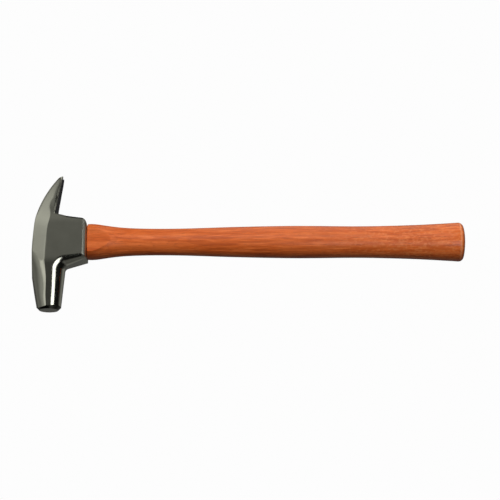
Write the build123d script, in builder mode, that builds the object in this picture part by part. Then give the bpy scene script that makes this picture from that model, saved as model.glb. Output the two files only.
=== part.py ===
"""Small claw hammer lying on its side: forged one-piece steel head on a turned oval wooden handle.

Shared frame, millimetres: +X runs along the handle from head to butt, +Y points to the claws, +Z is up.
The hammer rests on one flat cheek of the head (Z = 0). The origin is the middle of its footprint.
Dimensions are given as (u, v, w): u back from the crown of the head along +X, v from the handle's
centre line towards the claws, w sideways from the middle plane of the hammer.
"""
from build123d import *
from math import atan2, cos, radians, sin, sqrt, tan
import os

os.makedirs("parts", exist_ok=True)

# ---------------------------------------------------------------- overall sizes
total_length = 330.2
claw_reach = 50.9
face_drop = 53.6
cheek_half = 12.0

# ---------------------------------------------------------------- head: eye block and socket
crown_strip_half = 8.4
crown_bevel_front = 10.3
crown_bevel_back = 10.7
socket_length = 41.6
socket_top_root = 20.1
socket_top_rim = 16.3
socket_bottom_inner = 20.6
socket_bottom_rim = 14.6
socket_top_round = 2.6
rim_round = 3.4
rim_top_corner = 5.8
rim_bottom_corner = 0.8
edge_crease = 0.04

# ---------------------------------------------------------------- head: crown line and claw
crown_front = (0.0, -9.0)
crown_middle = (0.5, 1.5)
crown_back = (1.3, 11.5)
crown_bend = (1.95, 16.2)
claw_start = (3.1, 20.6)
claw_middle = (8.2, 33.1)
claw_root_u = 17.0
claw_tip_u = 22.0
claw_bevel = [(3.1, 20.6, 17.0, 8.15), (7.2, 31.0, 28.0, 7.55), (12.8, 41.4, 36.0, 6.85)]
claw_bevel += [(20.6, 51.5, 43.0, 6.1)]
claw_bevel_fall = 0.33
claw_half_root = 9.4
claw_half_mid = 8.1
waist_start_v = 13.0
waist_end_v = 33.5
claw_taper_v = 42.0
claw_side_radius = 20.0
claw_edge_rounds = [(1.6, 0.3), (4.3, 1.2), (7.6, 1.8), (11.0, 2.0), (14.0, 2.0), (17.5, 2.0)]
claw_edge_rounds += [(21.5, 1.8), (25.5, 1.6), (29.5, 1.4), (33.0, 1.25)]
notch_half = 2.7
notch_depth = 24.0
notch_root_round = 0.7

# ---------------------------------------------------------------- head: poll and striking face
face_land_radius = 7.2
face_bevel = 2.4
face_axis_u = 13.3
poll_taper_start = -14.0
poll_taper = 4.7
poll_blend_radius = 60.0
ridge_round = 3.0
poll_barrel = [(-56.0, 11.9, 4.9, 18), (-47.0, 11.7, 3.15, 18), (-38.0, 11.6, 1.5, 18)]
poll_barrel += [(-29.0, 11.5, 0.0, 17)]
barrel_top = -2.0
eye_barrel = [(-20.0, 11.4, 11.86, -2.1, 10), (-11.0, 12.2, 12.67, -6.0, 8)]
eye_barrel += [(barrel_top, 11.6, 12.67, -12.6, -7)]
poll_back_face_u = 22.3
poll_back_top_u = 25.2
throat_radius = 3.5

# ---------------------------------------------------------------- eye, handle and wedges
eye_crown = (12.4, 6.9)
eye_waist = (11.5, 7.3)
eye_rim = (12.0, 8.3)
eye_waist_u = 16.0
eye_clearance = 0.05
handle_start = socket_length + 0.5
handle_flat_half = 9.6
dome_radius = 60.0
butt_round = 4.0
tongue_end_u = 1.5
handle_section_count = 25
handle_heights = [(42, 13.8), (52, 13.2), (64, 11.6), (82, 10.5), (112, 10.45), (155, 11.75)]
handle_heights += [(200, 12.55), (250, 12.25), (285, 13.0), (311, 14.2), (330.2, 15.5)]
handle_thicknesses = [(42, 12.9), (49, 12.3), (57, 10.0), (68, 8.5), (90, 7.9), (115, 8.0), (155, 9.1)]
handle_thicknesses += [(200, 9.9), (250, 9.6), (285, 10.2), (311, 11.2), (330.2, 11.95)]
wood_wedge_thickness = 2.4
wood_wedge_depth = 24.0
steel_wedge_thickness = 2.0
steel_wedge_width = 9.0
steel_wedge_depth = 13.5
steel_wedge_offset = 6.2

axis_y = (face_drop - claw_reach) / 2
head_x = -total_length / 2


def plan_plane():
    """Middle plane of the hammer: sketch x is u, sketch y is v."""
    return Plane(origin=(head_x, axis_y, cheek_half), x_dir=(1, 0, 0), z_dir=(0, 0, 1))


def handle_plane(u):
    """Plane square to the handle at u: sketch x is v, sketch y is w."""
    return Plane(origin=(head_x + u, axis_y, cheek_half), x_dir=(0, 1, 0), z_dir=(1, 0, 0))


def poll_plane(v):
    """Plane square to the poll at v: sketch x is u, sketch y is w."""
    return Plane(origin=(head_x, axis_y + v, cheek_half), x_dir=(1, 0, 0), z_dir=(0, -1, 0))


def edge_plane(u, v, out_u, out_v):
    """Plane across the head's outline at (u, v): sketch x points out of the metal, sketch y is w."""
    return Plane(
        origin=(head_x + u, axis_y + v, cheek_half),
        x_dir=(out_u, out_v, 0),
        z_dir=(out_v, -out_u, 0),
    )


# ---------------------------------------------------------------- throat between poll and socket
poll_run = Vector(poll_back_top_u - poll_back_face_u, face_drop - socket_bottom_inner, 0).normalized()
socket_run = Vector(
    socket_length - poll_back_top_u, socket_bottom_inner - socket_bottom_rim, 0
).normalized()
throat_corner = Vector(poll_back_top_u, -socket_bottom_inner, 0)
throat_half_angle = radians((-poll_run).get_angle(socket_run)) / 2
throat_bisector = (socket_run - poll_run).normalized()
throat_centre = throat_corner + throat_bisector * (throat_radius / sin(throat_half_angle))
poll_out = Vector(poll_run.Y, -poll_run.X, 0)
socket_out = Vector(socket_run.Y, -socket_run.X, 0)


def throat_out(share):
    """Outward direction of the throat, from the poll side (0) to the socket side (1)."""
    return (poll_out * (1 - share) + socket_out * share).normalized()


def throat_point(share):
    return throat_centre - throat_out(share) * throat_radius


# ---------------------------------------------------------------- widths seen from the front
taper = radians(poll_taper)
blend_v = poll_taper_start - poll_blend_radius * sin(taper)
blend_w = cheek_half - poll_blend_radius * (1 - cos(taper))
waist_run = waist_end_v - waist_start_v
waist_drop = cheek_half - claw_half_root
waist_radius = (waist_run**2 + waist_drop**2) / (4 * waist_drop)
waist_middle_v = (waist_start_v + waist_end_v) / 2


def arc_drop(radius, along):
    """How far a circle has fallen away from its tangent."""
    return radius - sqrt(radius**2 - along**2)


def half_width(v):
    """Half the width of the head: curved claw sides, waist, flat cheeks, then the taper of the poll."""
    if v > claw_taper_v:
        return claw_half_mid - arc_drop(claw_side_radius, v - claw_taper_v)
    if v > waist_end_v:
        share = (v - waist_end_v) / (claw_taper_v - waist_end_v)
        return claw_half_root + (claw_half_mid - claw_half_root) * share
    if v > waist_middle_v:
        return claw_half_root + arc_drop(waist_radius, waist_end_v - v)
    if v > waist_start_v:
        return cheek_half - arc_drop(waist_radius, v - waist_start_v)
    if v > poll_taper_start:
        return cheek_half
    if v > blend_v:
        return cheek_half - arc_drop(poll_blend_radius, poll_taper_start - v)
    return blend_w - (blend_v - v) * tan(taper)


# ---------------------------------------------------------------- crown bevels
def bevel_wedge(u, v, turn, strip, fall, side):
    """Triangle of metal outside one crown bevel: turn is how far the crown leans back, in degrees."""
    with BuildSketch(edge_plane(u, v, -cos(radians(turn)), sin(radians(turn)))) as wedge:
        with BuildLine():
            Polyline(
                (3.0, side * (strip - 3.0 * fall)),
                (-16.0, side * (strip + 16.0 * fall)),
                (3.0, side * (strip + 16.0 * fall)),
                close=True,
            )
        make_face()
    return wedge.sketch


def bevel_cutter(side):
    """Bevel beside the eye, running on round the back of the claw."""
    front_fall = (cheek_half - crown_strip_half) / crown_bevel_front
    back_fall = (cheek_half - crown_strip_half) / crown_bevel_back
    with BuildPart() as cutter:
        for v in (-39.0, -29.0, -19.0):
            add(bevel_wedge(0.0, v, 0.0, crown_strip_half, front_fall, side))
        add(bevel_wedge(*crown_front, 0.0, crown_strip_half, front_fall, side))
        add(bevel_wedge(*crown_middle, 2.5, crown_strip_half, (front_fall + back_fall) / 2, side))
        add(bevel_wedge(*crown_back, 7.0, crown_strip_half, back_fall, side))
        for u, v, turn, strip in claw_bevel:
            add(bevel_wedge(u, v, turn, strip, claw_bevel_fall, side))
        loft()
    return cutter.part


# ---------------------------------------------------------------- barrel of the poll
def barrel_section(v, crease_u, crease_w, ridge_u, angle):
    """Convex flanks and a rounded ridge: angle is the flank's lean, in degrees, at the crease."""
    a = radians(angle)
    span = crease_u - ridge_u - ridge_round
    radius = (span**2 + crease_w**2 - ridge_round**2) / (
        2 * (crease_w * cos(a) - span * sin(a) - ridge_round)
    )
    centre_u = crease_u + radius * sin(a)
    centre_w = crease_w - radius * cos(a)
    start = a - radians(6)
    end = atan2(centre_u - ridge_u - ridge_round, -centre_w)
    angles = (start, (start + end) / 2, end)
    flank = [(centre_u - radius * sin(t), centre_w + radius * cos(t)) for t in angles]
    half = (radians(90) - end) / 2
    with BuildSketch(poll_plane(v)) as section:
        with BuildLine():
            Line((50.0, 0), (50.0, 20.0))
            Line((50.0, 20.0), (flank[0][0], 20.0))
            Line((flank[0][0], 20.0), flank[0])
            ThreePointArc(*flank)
            ThreePointArc(
                flank[2],
                (ridge_u + ridge_round * (1 - cos(half)), ridge_round * sin(half)),
                (ridge_u, 0),
            )
            mirror(about=Plane.XZ)
        make_face()
    return section.sketch


with BuildPart() as barrel:
    for v, crease_u, ridge_u, angle in poll_barrel:
        add(barrel_section(v, crease_u, half_width(v), ridge_u, angle))
    for v, crease_u, crease_w, ridge_u, angle in eye_barrel:
        add(barrel_section(v, crease_u, crease_w, ridge_u, angle))
    loft()
with BuildPart() as crown_limit:
    add(barrel.part)
    with Locations((head_x + 20, axis_y + barrel_top + 30, cheek_half)):
        Box(80, 60, 40)


# ---------------------------------------------------------------- rounded edges away from the crown
def corner_section(point, out, radius, side):
    """Metal outside a rounded edge of the given radius, at one station of the outline."""
    centre_w = half_width(point.Y - out.Y * radius) - radius
    reach = radius + edge_crease
    with BuildSketch(edge_plane(point.X, point.Y, out.X, out.Y)) as section:
        with BuildLine():
            ThreePointArc(
                (-radius, side * (centre_w + reach)),
                (-radius + reach * sin(radians(45)), side * (centre_w + reach * cos(radians(45)))),
                (-radius + reach, side * centre_w),
            )
            Polyline(
                (-radius + reach, side * centre_w),
                (2.0, side * centre_w),
                (2.0, side * (cheek_half + 3.0)),
                (-radius, side * (cheek_half + 3.0)),
                (-radius, side * (centre_w + reach)),
            )
        make_face()
    return section.sketch


def poll_corner(side):
    """Rounded edge down the back of the poll, easing from the throat to the striking face."""
    with BuildPart() as cutter:
        add(corner_section(throat_corner - poll_run * 38.0, poll_out, 7.4, side))
        add(corner_section(throat_point(0.0), throat_out(0.0), 9.9, side))
        loft(ruled=True)
    return cutter.part


def throat_corner_sweep(side):
    """Rounded edge round the throat."""
    with BuildPart() as cutter:
        add(corner_section(throat_point(0.0), throat_out(0.0), 9.9, side))
        add(corner_section(throat_point(0.33), throat_out(0.33), 9.4, side))
        add(corner_section(throat_point(0.67), throat_out(0.67), 8.6, side))
        add(corner_section(throat_point(1.0), throat_out(1.0), 7.7, side))
        loft(ruled=False)
    return cutter.part


def socket_lower_corner(side):
    """Rounded edge under the socket, tightening towards the rim."""
    with BuildPart() as cutter:
        add(corner_section(throat_point(1.0), throat_out(1.0), 7.7, side))
        add(corner_section(throat_corner + socket_run * 20.0, socket_out, 3.4, side))
        loft(ruled=True)
    return cutter.part


def socket_upper_corner(side):
    """Rounded edge along the top of the socket, fading out at the root of the claw."""
    with BuildPart() as cutter:
        add(corner_section(Vector(46.0, 16.05), Vector(0.06, 0.998), socket_top_round, side))
        add(corner_section(Vector(36.0, 16.85), Vector(0.1, 0.995), socket_top_round, side))
        add(corner_section(Vector(26.0, 18.2), Vector(0.16, 0.987), socket_top_round, side))
        add(corner_section(Vector(18.0, 19.9), Vector(0.22, 0.975), 0.5, side))
        loft(ruled=True)
    return cutter.part


def claw_lower_corner(side):
    """Rounded edge along the underside of the claw, fading out at its root."""
    run = Vector(claw_tip_u - 0.3 - claw_root_u, claw_reach - 2.6 - socket_top_root).normalized()
    out = Vector(run.Y, -run.X)
    with BuildPart() as cutter:
        for along, radius in claw_edge_rounds:
            point = Vector(claw_root_u, socket_top_root) + run * along
            add(corner_section(point, out, radius, side))
        loft(ruled=True)
    return cutter.part


# ---------------------------------------------------------------- eye through the head
def eye_loft(slack):
    """Tapered oval through the head, waisted so that the wedged handle cannot pull out."""
    with BuildPart() as eye:
        with BuildSketch(handle_plane(-0.5)):
            Ellipse(eye_crown[0] - slack, eye_crown[1] - slack)
        with BuildSketch(handle_plane(eye_waist_u)):
            Ellipse(eye_waist[0] - slack, eye_waist[1] - slack)
        with BuildSketch(handle_plane(handle_start)):
            Ellipse(eye_rim[0] - slack, eye_rim[1] - slack)
        loft(ruled=True)
    return eye.part


def tongue_blank():
    """The part of the eye that the end of the handle fills."""
    with BuildPart() as tongue:
        add(eye_loft(eye_clearance))
        with Locations((head_x + tongue_end_u + 30, axis_y, cheek_half)):
            Box(60, 60, 60, mode=Mode.INTERSECT)
    return tongue.part


# ---------------------------------------------------------------- head
with BuildPart() as head:
    # outline seen from the side
    with BuildSketch(plan_plane()) as outline:
        with BuildLine():
            Line((claw_root_u, socket_top_root), (claw_tip_u - 0.3, claw_reach - 2.6))
            Line((claw_tip_u - 0.3, claw_reach - 2.6), (claw_tip_u, claw_reach))
            Line((claw_tip_u, claw_reach), (claw_tip_u - 2.9, claw_reach - 1.6))
            ThreePointArc((claw_tip_u - 2.9, claw_reach - 1.6), claw_middle, claw_start)
            ThreePointArc(claw_start, crown_bend, crown_back)
            ThreePointArc(crown_back, crown_middle, crown_front)
            Line(crown_front, (0.0, -face_drop))
            Line((0.0, -face_drop), (poll_back_face_u, -face_drop))
            Line((poll_back_face_u, -face_drop), throat_point(0.0))
            ThreePointArc(throat_point(0.0), throat_point(0.5), throat_point(1.0))
            Line(throat_point(1.0), (socket_length, -socket_bottom_rim))
            Line((socket_length, -socket_bottom_rim), (socket_length, socket_top_rim))
            ThreePointArc((socket_length, socket_top_rim), (29.5, 17.65), (claw_root_u, socket_top_root))
        make_face()
        rim_corners = outline.vertices().group_by(Axis.X)[-1].sort_by(Axis.Y)
        fillet(rim_corners[-1], rim_top_corner)
        fillet(outline.vertices().group_by(Axis.X)[-1].sort_by(Axis.Y)[0], rim_bottom_corner)
    extrude(amount=cheek_half + 1, both=True)

    # outline seen from the front: waisted claw, flat cheeks, tapering poll
    front_high = claw_reach + 1
    front_low = -face_drop - 1
    with BuildSketch(handle_plane(-1)):
        with BuildLine():
            Line((front_high, 0), (front_high, half_width(front_high)))
            ThreePointArc(
                (front_high, half_width(front_high)),
                ((front_high + claw_taper_v) / 2, half_width((front_high + claw_taper_v) / 2)),
                (claw_taper_v, claw_half_mid),
            )
            Line((claw_taper_v, claw_half_mid), (waist_end_v, claw_half_root))
            ThreePointArc(
                (waist_end_v, claw_half_root),
                ((waist_end_v + waist_middle_v) / 2, half_width((waist_end_v + waist_middle_v) / 2)),
                (waist_middle_v, half_width(waist_middle_v)),
            )
            ThreePointArc(
                (waist_middle_v, half_width(waist_middle_v)),
                ((waist_middle_v + waist_start_v) / 2, half_width((waist_middle_v + waist_start_v) / 2)),
                (waist_start_v, cheek_half),
            )
            Line((waist_start_v, cheek_half), (poll_taper_start, cheek_half))
            JernArc((poll_taper_start, cheek_half), (-1, 0), poll_blend_radius, poll_taper)
            Line((blend_v, blend_w), (front_low, half_width(front_low)))
            Line((front_low, half_width(front_low)), (front_low, 0))
            mirror(about=Plane.XZ)
        make_face()
    extrude(amount=socket_length + 2, mode=Mode.INTERSECT)

    # rim seen from above: both cheeks roll over into the end of the socket
    with BuildSketch(poll_plane(0)) as rim_profile:
        with Locations(((socket_length - 10) / 2, 0)):
            Rectangle(socket_length + 10, 2 * cheek_half)
        fillet(rim_profile.vertices().group_by(Axis.X)[-1], rim_round)
    extrude(amount=80, both=True, mode=Mode.INTERSECT)

    add(bevel_cutter(1), mode=Mode.SUBTRACT)
    add(bevel_cutter(-1), mode=Mode.SUBTRACT)
    add(crown_limit.part, mode=Mode.INTERSECT)
    for side in (1, -1):
        add(poll_corner(side), mode=Mode.SUBTRACT)
        add(throat_corner_sweep(side), mode=Mode.SUBTRACT)
        add(socket_lower_corner(side), mode=Mode.SUBTRACT)
        add(socket_upper_corner(side), mode=Mode.SUBTRACT)
        add(claw_lower_corner(side), mode=Mode.SUBTRACT)

    # conical bevel round the striking face
    with BuildSketch(plan_plane()):
        with BuildLine():
            Polyline(
                (face_axis_u + face_land_radius, -face_drop),
                (face_axis_u + face_land_radius + 3 * face_bevel, -face_drop + 3 * face_bevel),
                (face_axis_u + face_land_radius + 3 * face_bevel, -face_drop - 2),
                (face_axis_u + face_land_radius, -face_drop - 2),
                close=True,
            )
        make_face()
    revolve(axis=Axis((head_x + face_axis_u, axis_y, cheek_half), (0, 1, 0)), mode=Mode.SUBTRACT)

    # nail notch between the claws
    with BuildSketch(handle_plane(-1)) as notch:
        with BuildLine():
            Polyline(
                (claw_reach + 1, notch_half),
                (claw_reach - notch_depth, 0),
                (claw_reach + 1, -notch_half),
                close=True,
            )
        make_face()
        fillet(notch.vertices().sort_by(Axis.X)[0], notch_root_round)
    extrude(amount=socket_length, mode=Mode.SUBTRACT)

    add(eye_loft(0), mode=Mode.SUBTRACT)


# ---------------------------------------------------------------- wedges
def wedge_loft(v, thick_v, thick_w, thin_v, thin_w, depth, slack):
    """Blade driven into the end of the handle, thickest at the crown."""
    with BuildPart() as blade:
        with BuildSketch(handle_plane(tongue_end_u)):
            with Locations((v, 0)):
                Rectangle(thick_v + slack, thick_w + slack)
        with BuildSketch(handle_plane(tongue_end_u + depth)):
            with Locations((v, 0)):
                Rectangle(thin_v + slack, thin_w + slack)
        loft(ruled=True)
    return blade.part


def wood_blade(slack):
    return wedge_loft(0, 30, wood_wedge_thickness, 30, 0.6, wood_wedge_depth, slack)


def steel_blade(v, slack):
    return wedge_loft(v, steel_wedge_thickness, steel_wedge_width, 0.5, 8.4, steel_wedge_depth, slack)


with BuildPart() as wood_wedge:
    add(tongue_blank())
    add(wood_blade(0), mode=Mode.INTERSECT)
    add(steel_blade(steel_wedge_offset, 0.04), mode=Mode.SUBTRACT)
    add(steel_blade(-steel_wedge_offset, 0.04), mode=Mode.SUBTRACT)

with BuildPart() as steel_wedge_claw_side:
    add(steel_blade(steel_wedge_offset, 0))

with BuildPart() as steel_wedge_poll_side:
    add(steel_blade(-steel_wedge_offset, 0))


# ---------------------------------------------------------------- handle
def swell(knots, u):
    """Smooth curve through the knots (u, half size), easing from one to the next."""
    last = len(knots) - 1
    i = min(max(k for k in range(last) if knots[k][0] <= u + 1e-9), last - 1)
    slopes = []
    for k in (i, i + 1):
        before = knots[max(k - 1, 0)]
        after = knots[min(k + 1, last)]
        slopes.append((after[1] - before[1]) / (after[0] - before[0]))
    run = knots[i + 1][0] - knots[i][0]
    t = (u - knots[i][0]) / run
    return (
        (2 * t**3 - 3 * t**2 + 1) * knots[i][1]
        + (t**3 - 2 * t**2 + t) * run * slopes[0]
        + (3 * t**2 - 2 * t**3) * knots[i + 1][1]
        + (t**3 - t**2) * run * slopes[1]
    )


with BuildPart() as handle:
    for step in range(handle_section_count):
        u = handle_start + (total_length - handle_start) * step / (handle_section_count - 1)
        with BuildSketch(handle_plane(u)):
            Ellipse(swell(handle_heights, u), swell(handle_thicknesses, u))
    loft()

    # flats worked on both sides of the shoulder
    for side in (1, -1):
        with Locations((head_x + 55, axis_y, cheek_half + side * (handle_flat_half + 10))):
            Box(50, 60, 20, mode=Mode.SUBTRACT)

    # domed butt
    dome_edge = 25.0
    dome_fall = dome_radius - (dome_radius**2 - dome_edge**2) ** 0.5
    half_fall = dome_radius - (dome_radius**2 - (dome_edge / 2) ** 2) ** 0.5
    with BuildSketch(plan_plane()):
        with BuildLine():
            Polyline((0, 0), (0, dome_edge), (total_length - dome_fall, dome_edge))
            ThreePointArc(
                (total_length - dome_fall, dome_edge),
                (total_length - half_fall, dome_edge / 2),
                (total_length, 0),
            )
            Line((total_length, 0), (0, 0))
        make_face()
    revolve(axis=Axis((head_x, axis_y, cheek_half), (1, 0, 0)), mode=Mode.INTERSECT)
    butt_edges = handle.edges().filter_by(lambda e: e.center().X > head_x + 315 and e.length > 40)
    fillet(butt_edges, butt_round)

    # tongue through the eye, slit for the wedges
    add(tongue_blank())
    add(wood_blade(0.04), mode=Mode.SUBTRACT)
    add(steel_blade(steel_wedge_offset, 0.04), mode=Mode.SUBTRACT)
    add(steel_blade(-steel_wedge_offset, 0.04), mode=Mode.SUBTRACT)

head.part.label = "head"
handle.part.label = "handle"
wood_wedge.part.label = "wood_wedge"
steel_wedge_claw_side.part.label = "steel_wedge_claw_side"
steel_wedge_poll_side.part.label = "steel_wedge_poll_side"

export_step(head.part, "parts/head.step")
export_step(handle.part, "parts/handle.step")
export_step(wood_wedge.part, "parts/wood_wedge.step")
export_step(steel_wedge_claw_side.part, "parts/steel_wedge_claw_side.step")
export_step(steel_wedge_poll_side.part, "parts/steel_wedge_poll_side.step")
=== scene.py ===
"""Looks for the small claw hammer: steel head, stained wooden handle and its wedges, in a plain studio.

The five CAD pieces stay as they are and get procedural materials. Metres: +X runs along the handle from
head to butt, +Y points to the claws and +Z is up.
"""

from math import atan2, cos, hypot, radians, sin

import bpy
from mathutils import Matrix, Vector


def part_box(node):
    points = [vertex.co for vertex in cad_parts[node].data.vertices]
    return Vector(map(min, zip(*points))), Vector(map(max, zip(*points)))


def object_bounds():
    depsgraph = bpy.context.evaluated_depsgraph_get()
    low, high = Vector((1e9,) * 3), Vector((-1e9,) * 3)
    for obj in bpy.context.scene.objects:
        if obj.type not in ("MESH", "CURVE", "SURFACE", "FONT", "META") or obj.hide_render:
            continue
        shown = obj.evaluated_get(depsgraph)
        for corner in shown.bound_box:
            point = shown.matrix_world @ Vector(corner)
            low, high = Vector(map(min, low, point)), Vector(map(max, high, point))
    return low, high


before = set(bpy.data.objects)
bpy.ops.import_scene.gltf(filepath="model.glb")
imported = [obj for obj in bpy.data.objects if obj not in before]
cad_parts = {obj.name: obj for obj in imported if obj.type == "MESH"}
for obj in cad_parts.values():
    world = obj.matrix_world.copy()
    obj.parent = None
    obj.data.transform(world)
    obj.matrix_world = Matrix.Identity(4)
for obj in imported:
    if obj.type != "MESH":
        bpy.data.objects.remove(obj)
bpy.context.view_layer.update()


# ---------------------------------------------------------------- places in the frame
head_low, head_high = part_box("head")
head_middle = (head_low + head_high) / 2
handle_low, handle_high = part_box("handle")
handle_middle = (handle_low + handle_high) / 2
model_low, model_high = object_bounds()
model_middle = (model_low + model_high) / 2

# stretches along Y over which something on the head fades in
claw_turns_soft = (0.0165, 0.0260)
crown_turns_soft = (0.0060, 0.0000)
poll_turns_crisp = (-0.0140, -0.0200)
above_socket = (0.0208, 0.0222)
beside_face = (head_low.y + 0.008, head_low.y + 0.006)

# the same along X, on the head and on the handle
near_rim = (head_high.x - 0.0160, head_high.x - 0.0080)
rim_round = (head_high.x - 0.0040, head_high.x - 0.0025)
below_socket = (head_high.x + 0.016, head_high.x + 0.060)
grip_flecked = (model_high.x - 0.150, model_high.x - 0.040)
butt_swell = (model_high.x - 0.030, model_high.x - 0.020)
butt_ring = (model_high.x - 0.012, model_high.x - 0.006)
slot_half_width = (0.0034, 0.0029)

# how far the head's edges are rounded
crisp_radius = 0.0006
claw_radius = 0.0026
crown_extra_radius = 0.0012
poll_less_radius = 0.0015
rim_radius = 0.0005


# ---------------------------------------------------------------- node helpers
class Tree:
    """A node tree being filled, with short names for the nodes used here."""

    def __init__(self, tree):
        self.tree = tree
        tree.nodes.clear()

    def node(self, kind, values=(), **settings):
        made = self.tree.nodes.new("ShaderNode" + kind)
        for key, value in settings.items():
            setattr(made, key, value)
        for key, value in dict(values).items():
            self.put(made.inputs[key], value)
        return made

    def put(self, socket, value):
        if isinstance(value, bpy.types.NodeSocket):
            self.tree.links.new(value, socket)
        else:
            socket.default_value = value

    def place(self):
        """Coordinates fixed to the piece."""
        return self.node("TexCoord").outputs["Object"]

    def split(self, vector):
        """Outputs X, Y and Z of a vector."""
        return self.node("SeparateXYZ", {0: vector}).outputs

    def normal(self):
        return self.node("NewGeometry").outputs["Normal"]

    def math(self, operation, a, b=0.0):
        return self.node("Math", {0: a, 1: b}, operation=operation).outputs[0]

    def add(self, a, b):
        return self.math("ADD", a, b)

    def subtract(self, a, b):
        return self.math("SUBTRACT", a, b)

    def multiply(self, a, b):
        return self.math("MULTIPLY", a, b)

    def measure(self, operation, a, b=(0, 0, 0)):
        """A vector operation that gives one value."""
        return self.node("VectorMath", {0: a, 1: b}, operation=operation).outputs["Value"]

    def stretch(self, coordinates, scale, shift=(0, 0, 0)):
        return self.node("Mapping", {"Vector": coordinates, "Scale": scale, "Location": shift}).outputs[0]

    def noise(self, coordinates, scale=1.0, detail=3.0, roughness=0.5):
        values = {"Vector": coordinates, "Scale": scale, "Detail": detail, "Roughness": roughness}
        return self.node("TexNoise", values).outputs[0]

    def fade(self, value, start, end, low=0.0, high=1.0):
        """Smooth step from low to high as value goes from start to end."""
        values = {"Value": value, "From Min": start, "From Max": end, "To Min": low, "To Max": high}
        return self.node("MapRange", values, interpolation_type="SMOOTHSTEP").outputs[0]

    def mix(self, share, a, b):
        """Blend of two colours."""
        return self.node("Mix", {0: share, 6: a, 7: b}, data_type="RGBA").outputs[2]

    def mix_value(self, share, a, b):
        return self.node("Mix", {0: share, 2: a, 3: b}, data_type="FLOAT").outputs[0]

    def ramp(self, value, stops):
        made = self.node("ValToRGB", {"Fac": value})
        elements = made.color_ramp.elements
        while len(elements) < len(stops):
            elements.new(0.5)
        for element, (place, colour) in zip(elements, stops):
            element.position = place
            element.color = (*colour, 1)
        return made.outputs[0]

    def bump(self, height, strength, distance, **more):
        values = {"Strength": strength, "Distance": distance, "Height": height}
        for name, value in more.items():
            values[name.capitalize()] = value
        return self.node("Bump", values).outputs[0]

    def edge_mask(self, radius, start, end):
        """White where the surface turns a corner within the radius."""
        rounded = self.node("Bevel", {"Radius": radius}, samples=6).outputs[0]
        agreement = self.measure("DOT_PRODUCT", rounded, self.normal())
        return self.fade(agreement, start, end, 1.0, 0.0)


def new_material(name):
    material = bpy.data.materials.new(name)
    material.use_nodes = True
    tree = Tree(material.node_tree)
    shader = tree.node("BsdfPrincipled")
    tree.node("OutputMaterial", {"Surface": shader.outputs[0]})
    return material, tree, shader


def give(node, material):
    """Puts one material on a CAD node."""
    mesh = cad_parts[node].data
    mesh.materials.clear()
    mesh.materials.append(material)


# ---------------------------------------------------------------- materials: head
def edge_radius(tree, parts):
    """How soft the edges are: well rounded on the claw and low on the crown, crisp elsewhere."""
    along = parts["Y"]
    radius = tree.fade(along, *claw_turns_soft, crisp_radius, claw_radius)
    radius = tree.add(radius, tree.fade(along, *crown_turns_soft, 0.0, crown_extra_radius))
    radius = tree.subtract(radius, tree.fade(along, *poll_turns_crisp, 0.0, poll_less_radius))
    return tree.mix_value(tree.fade(parts["X"], *near_rim), radius, rim_radius)


def painted_underside_shade(tree, parts):
    """Mask of painted shade: black painted on the claw's underside and on the walls of the nail slot, where
    shade falls.
    """
    facing = tree.split(tree.normal())
    above = tree.fade(parts["Y"], *above_socket)
    underside = tree.multiply(tree.fade(facing["X"], 0.84, 0.96), above)
    wall = tree.fade(tree.math("ABSOLUTE", facing["Z"]), 0.75, 0.90)
    off_middle = tree.math("ABSOLUTE", tree.subtract(parts["Z"], head_middle.z))
    slot = tree.multiply(wall, tree.fade(off_middle, *slot_half_width))
    slot = tree.multiply(slot, above)
    return tree.math("MAXIMUM", underside, slot)


def chamfer_painted_reflection(tree, parts):
    """Mask of the chamfer round the striking face, where a dark reflection is painted into the colour."""
    facing = tree.split(tree.normal())["Y"]
    slanted = tree.multiply(tree.fade(facing, -0.30, -0.55), tree.fade(facing, -0.96, -0.85))
    return tree.multiply(slanted, tree.fade(parts["Y"], *beside_face))


def polished_steel():
    """Ground and polished forged steel: faint lengthwise grinding marks, cloudy lacquer, worn edges, with
    painted shade under the claw and a painted dark reflection on the chamfer.
    """
    ground, bright = (0.54, 0.54, 0.43), (0.62, 0.62, 0.50)
    worn_bright = (0.72, 0.72, 0.60, 1)
    # colour of the painted dark reflection on the chamfer
    painted_reflection_dark = (0.06, 0.06, 0.055, 1)
    # colours of the painted shade under the claw and in the nail slot
    painted_shade_black, painted_shade_grey = (0.006, 0.006, 0.007), (0.020, 0.019, 0.018)

    material, tree, shader = new_material("polished_steel")
    place = tree.place()
    parts = tree.split(place)
    clouds = tree.noise(place, 90.0, 4.0, 0.55)
    marks = tree.noise(tree.stretch(place, (1500, 60, 1500)), 1.0, 3.0, 0.6)
    pits = tree.noise(place, 900.0, 2.0, 0.6)
    worn = tree.edge_mask(0.0006, 0.995, 0.93)
    # scale here is the painted-shade mask: black painted under the claw and in the slot, standing in for
    # shade
    scale = painted_underside_shade(tree, parts)

    base = tree.ramp(clouds, [(0.30, ground), (0.70, bright)])
    base = tree.mix(tree.multiply(worn, 0.4), base, worn_bright)
    # painted reflection: the chamfer round the striking face darkened in the colour
    base = tree.mix(tree.multiply(chamfer_painted_reflection(tree, parts), 0.75), base, painted_reflection_dark)
    # painted shade: black and dark grey under the claw and in the nail slot
    base = tree.mix(scale, base, tree.ramp(pits, [(0.3, painted_shade_black), (0.7, painted_shade_grey)]))
    tree.put(shader.inputs["Base Color"], base)
    tree.put(shader.inputs["Metallic"], tree.subtract(1.0, scale))

    rough = tree.fade(clouds, 0.25, 0.75, 0.06, 0.10)
    rough = tree.add(rough, tree.fade(marks, 0.3, 0.7, -0.015, 0.02))
    rough = tree.add(rough, tree.multiply(worn, 0.06))
    rough = tree.add(rough, tree.multiply(scale, 0.45))
    rough = tree.add(rough, tree.fade(parts["X"], *rim_round, 0.0, 0.18))
    tree.put(shader.inputs["Roughness"], rough)

    rounded = tree.node("Bevel", {"Radius": edge_radius(tree, parts)}, samples=8).outputs[0]
    height = tree.add(marks, tree.multiply(pits, 0.4))
    tree.put(shader.inputs["Normal"], tree.bump(height, 0.06, 0.00003, normal=rounded))
    return material


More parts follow.
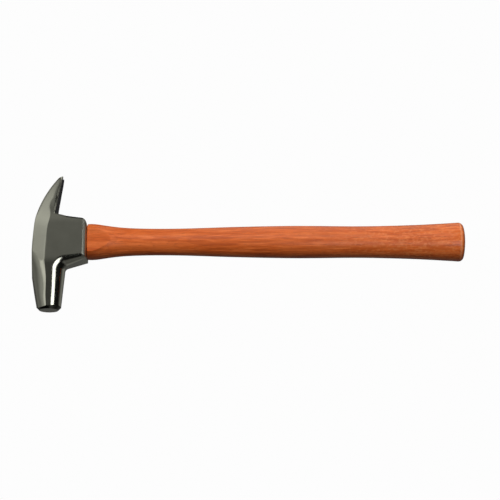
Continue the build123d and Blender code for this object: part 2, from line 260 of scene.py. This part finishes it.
# ---------------------------------------------------------------- materials: handle
def late_wood(tree, place):
    """Growth rings of a tree whose middle lies well to one side of the handle, wandering a little."""
    rings_per_metre = 420.0
    wander = tree.noise(tree.stretch(place, (9, 60, 60)), 1.0, 2.0, 0.5)
    radius = tree.measure("LENGTH", tree.stretch(place, (0.0, 1.0, 1.0), (0, 0.004, -0.055)))
    radius = tree.add(radius, tree.multiply(wander, 0.006))
    return tree.fade(tree.math("FRACT", tree.multiply(radius, rings_per_metre)), 0.55, 0.92)


def wood_colour(tree, place, streaks, pore_mask):
    """Orange-stained wood with broad light bands, dark late wood, darker patches and pores."""
    stain_dark, stain, stain_light = (0.46, 0.066, 0.006), (0.68, 0.118, 0.013), (0.86, 0.195, 0.042)
    broad = tree.noise(tree.stretch(place, (14, 150, 150)), 1.0, 3.0, 0.55)
    patches = tree.noise(tree.stretch(place, (60, 160, 160)), 1.0, 3.0, 0.55)
    base = tree.ramp(streaks, [(0.36, stain_dark), (0.50, stain), (0.64, stain_light)])
    base = tree.mix(tree.fade(broad, 0.42, 0.66, 0.0, 0.50), base, (0.86, 0.205, 0.045, 1))
    base = tree.mix(tree.multiply(late_wood(tree, place), 0.28), base, (0.42, 0.060, 0.006, 1))
    base = tree.mix(tree.fade(patches, 0.50, 0.70, 0.0, 0.35), base, (0.52, 0.080, 0.008, 1))
    return tree.mix(tree.multiply(pore_mask, 0.50), base, (0.28, 0.055, 0.012, 1))


def golden_flecks(tree, place, along, base):
    """The stain took unevenly on the grip: pale golden flecks, thicker towards the butt."""
    flecks = tree.noise(tree.stretch(place, (330, 620, 620)), 1.0, 2.0, 0.55)
    share = tree.multiply(tree.fade(flecks, 0.46, 0.66), tree.fade(along, *grip_flecked, 0.0, 0.30))
    return tree.mix(share, base, (0.95, 0.34, 0.11, 1))


def painted_butt_line_and_edges(tree, along, base):
    """A painted highlight, a lighter line round the butt's rounded edge; darker on its end face, and dulled
    corners.
    """
    facing = tree.split(tree.normal())["X"]
    # painted highlight: a lighter line round the butt's rounded edge
    highlight_band = tree.multiply(tree.fade(facing, 0.06, 0.20), tree.fade(facing, 0.55, 0.36))
    highlight_band = tree.multiply(highlight_band, tree.fade(along, *butt_swell))
    base = tree.mix(tree.multiply(highlight_band, 0.50), base, (0.95, 0.42, 0.20, 1))
    base = tree.mix(tree.fade(facing, 0.50, 0.85, 0.0, 0.55), base, (0.24, 0.08, 0.03, 1))
    worn = tree.edge_mask(0.0012, 0.99, 0.80)
    return tree.mix(tree.multiply(worn, 0.25), base, (0.42, 0.11, 0.03, 1))


def stained_hickory():
    """Orange-stained hickory under clear lacquer, thin beside the socket and glossiest round the butt."""
    material, tree, shader = new_material("stained_hickory")
    place = tree.place()
    along = tree.split(place)["X"]
    streaks = tree.noise(tree.stretch(place, (45, 620, 620)), 1.0, 4.0, 0.62)
    pores = tree.noise(tree.stretch(place, (190, 1900, 1900)), 1.0, 2.0, 0.5)
    pore_mask = tree.fade(pores, 0.60, 0.70)

    base = wood_colour(tree, place, streaks, pore_mask)
    base = golden_flecks(tree, place, along, base)
    tree.put(shader.inputs["Base Color"], painted_butt_line_and_edges(tree, along, base))
    tree.put(shader.inputs["Roughness"], tree.fade(streaks, 0.3, 0.7, 0.42, 0.55))
    height = tree.subtract(streaks, tree.multiply(pore_mask, 0.6))
    tree.put(shader.inputs["Normal"], tree.bump(height, 0.25, 0.00012))
    shader.inputs["Specular IOR Level"].default_value = 0.15
    tree.put(shader.inputs["Coat Weight"], tree.fade(along, *below_socket, 0.30, 0.60))
    tree.put(shader.inputs["Coat Roughness"], tree.fade(along, *butt_ring, 0.26, 0.06))
    return material


# ---------------------------------------------------------------- materials: wedges
def sawn_hardwood():
    """Bare wood of the wedge, seen on its sawn and struck end."""
    material, tree, shader = new_material("sawn_hardwood")
    place = tree.place()
    fibres = tree.noise(tree.stretch(place, (60, 700, 700)), 1.0, 4.0, 0.6)
    stain = tree.noise(place, 220.0, 3.0, 0.6)
    base = tree.ramp(fibres, [(0.3, (0.42, 0.27, 0.14)), (0.7, (0.66, 0.47, 0.27))])
    base = tree.mix(tree.fade(stain, 0.45, 0.75, 0.0, 0.5), base, (0.30, 0.17, 0.08, 1))
    tree.put(shader.inputs["Base Color"], base)
    tree.put(shader.inputs["Roughness"], tree.fade(fibres, 0.3, 0.7, 0.6, 0.8))
    tree.put(shader.inputs["Normal"], tree.bump(fibres, 0.5, 0.0002))
    return material


def plain_steel():
    """Rolled steel of the small wedges: dull, lightly rusted at the edges."""
    material, tree, shader = new_material("plain_steel")
    place = tree.place()
    scale = tree.noise(place, 400.0, 4.0, 0.6)
    rolled = tree.noise(tree.stretch(place, (200, 2400, 2400)), 1.0, 3.0, 0.6)
    rust = tree.multiply(tree.edge_mask(0.0004, 0.99, 0.85), tree.fade(scale, 0.4, 0.7))
    base = tree.ramp(scale, [(0.3, (0.30, 0.29, 0.27)), (0.7, (0.46, 0.45, 0.43))])
    base = tree.mix(rust, base, (0.22, 0.10, 0.05, 1))
    tree.put(shader.inputs["Base Color"], base)
    tree.put(shader.inputs["Metallic"], tree.subtract(1.0, tree.multiply(rust, 0.8)))
    tree.put(shader.inputs["Roughness"], tree.fade(rolled, 0.3, 0.7, 0.32, 0.5))
    tree.put(shader.inputs["Normal"], tree.bump(rolled, 0.3, 0.0001))
    return material


give("head", polished_steel())
give("handle", stained_hickory())
give("wood_wedge", sawn_hardwood())
wedge_steel = plain_steel()
give("steel_wedge_claw_side", wedge_steel)
give("steel_wedge_poll_side", wedge_steel)

# ---------------------------------------------------------------- studio
# dim cards round the hammer: the lean of the middle towards +X and +Y, the angle of full brightness and
# the angle where it ends, all in degrees, and the brightness
cards = [
    ((-36, 36), 2, 16, 0.18),
    ((-32, 20), 2, 16, 0.18),
    ((-50, 10), 12, 42, 0.30),
    ((-45, -1), 3, 15, 0.40),
    ((-78, 80), 8, 28, 0.45),
    ((40, 70), 10, 32, 0.12),
    ((-6, 45), 12, 42, 0.122),
    ((-6, 19), 5, 24, 0.062),
    ((58, 35), 5, 21, 0.350),
    ((-100, 10), 6, 26, 0.135),
    ((110, 60), 12, 42, 0.085),
    ((128, 22), 8, 24, 0.060),
    ((24, -68), 5, 22, 0.100),
    ((26, -98), 6, 26, 0.080),
    ((0, -136), 6, 25, 0.120),
]
room_dark = 0.006
room_below = 0.092
backdrop_white = 0.982
stage_radius = 5.0
floor_gap = 0.0003


def towards(lean_x, lean_y):
    """Unit direction that leans from straight up by these angles, in degrees, towards +X and +Y."""
    lean = radians(hypot(lean_x, lean_y))
    turn = atan2(lean_y, lean_x)
    return Vector((sin(lean) * cos(turn), sin(lean) * sin(turn), cos(lean)))


def studio_surroundings():
    """Dark room with broad, dim cards: what the polished metal reflects."""
    world = bpy.data.worlds.new("studio")
    world.use_nodes = True
    tree = Tree(world.node_tree)
    direction = tree.node("TexCoord").outputs["Generated"]
    level = tree.fade(tree.split(direction)["Z"], -0.10, -0.90, room_dark, room_below)
    for lean, full_within, gone_beyond, brightness in cards:
        facing = tree.measure("DOT_PRODUCT", direction, towards(*lean))
        start, end = cos(radians(gone_beyond)), cos(radians(full_within))
        level = tree.add(level, tree.fade(facing, start, end, 0.0, brightness))
    background = tree.node("Background", {"Color": (1, 1, 1, 1), "Strength": level})
    tree.node("OutputWorld", {"Surface": background.outputs[0]})
    bpy.context.scene.world = world


def softbox(name, aim, lean, distance, size, power, glossy=True, colour=(1, 1, 1)):
    """Rectangular area light that looks at a point from the given lean."""
    data = bpy.data.lights.new(name, "AREA")
    data.shape = "RECTANGLE"
    data.size, data.size_y = size
    data.energy = power
    data.color = colour
    light = bpy.data.objects.new(name, data)
    light.location = aim + towards(*lean) * distance
    light.rotation_euler = (aim - light.location).to_track_quat("-Z", "Y").to_euler()
    light.visible_camera = False
    light.visible_glossy = glossy
    bpy.context.scene.collection.objects.link(light)


def lights():
    """A softbox mirrored in the head, a broad key for the wood, and a sheen along the handle's upper edge."""
    cool_white = (0.93, 0.95, 1.0)
    beyond_grip = handle_middle + Vector((0.18, 0, 0))
    softbox("side_softbox", head_middle, (24, -8), 1.6, (0.84, 0.80), 4.9, colour=cool_white)
    softbox("handle_key", model_middle, (0, 32), 1.5, (1.3, 0.7), 18.5, glossy=False)
    softbox("handle_sheen", beyond_grip, (0, 85), 0.5, (0.50, 0.60), 0.75)


def glowing_paper():
    """Even pale surface for the floor and the backdrop."""
    material = bpy.data.materials.new("pale_paper")
    material.use_nodes = True
    tree = Tree(material.node_tree)
    glow = tree.node("Emission", {"Color": (backdrop_white, backdrop_white, backdrop_white, 1)})
    tree.node("OutputMaterial", {"Surface": glow.outputs[0]})
    return material


def pale_floor():
    """Pale floor under a pale dome; only the camera sees them, so they cast nothing on the hammer."""
    paper = glowing_paper()
    bpy.ops.mesh.primitive_circle_add(vertices=96, radius=stage_radius, fill_type="NGON")
    floor = bpy.context.object
    floor.location.z = model_low.z - floor_gap
    floor.name = "floor"
    bpy.ops.mesh.primitive_uv_sphere_add(segments=64, ring_count=32, radius=stage_radius)
    dome = bpy.context.object
    dome.name = "backdrop"
    for stage_piece in (floor, dome):
        stage_piece.data.materials.append(paper)
        stage_piece.visible_diffuse = False
        stage_piece.visible_glossy = False
        stage_piece.visible_transmission = False
        stage_piece.visible_shadow = False


studio_surroundings()
lights()
pale_floor()


# ---------------------------------------------------------------- camera
def add_camera():
    """Long lens from above, tilted so that the striking face just shows."""
    tilt = radians(14.5)
    distance = 1.4
    frame_width = 0.3822
    sensor_width = 36.0
    target = Vector((0.0008, -0.0049, model_middle.z))
    data = bpy.data.cameras.new("camera")
    data.sensor_width = sensor_width
    data.lens = sensor_width * distance / frame_width
    camera = bpy.data.objects.new("camera", data)
    camera.location = target + Vector((0, -sin(tilt), cos(tilt))) * distance
    camera.rotation_euler = (tilt, 0, 0)
    bpy.context.scene.collection.objects.link(camera)
    bpy.context.scene.camera = camera


add_camera()
bpy.context.scene.view_settings.view_transform = "Standard"
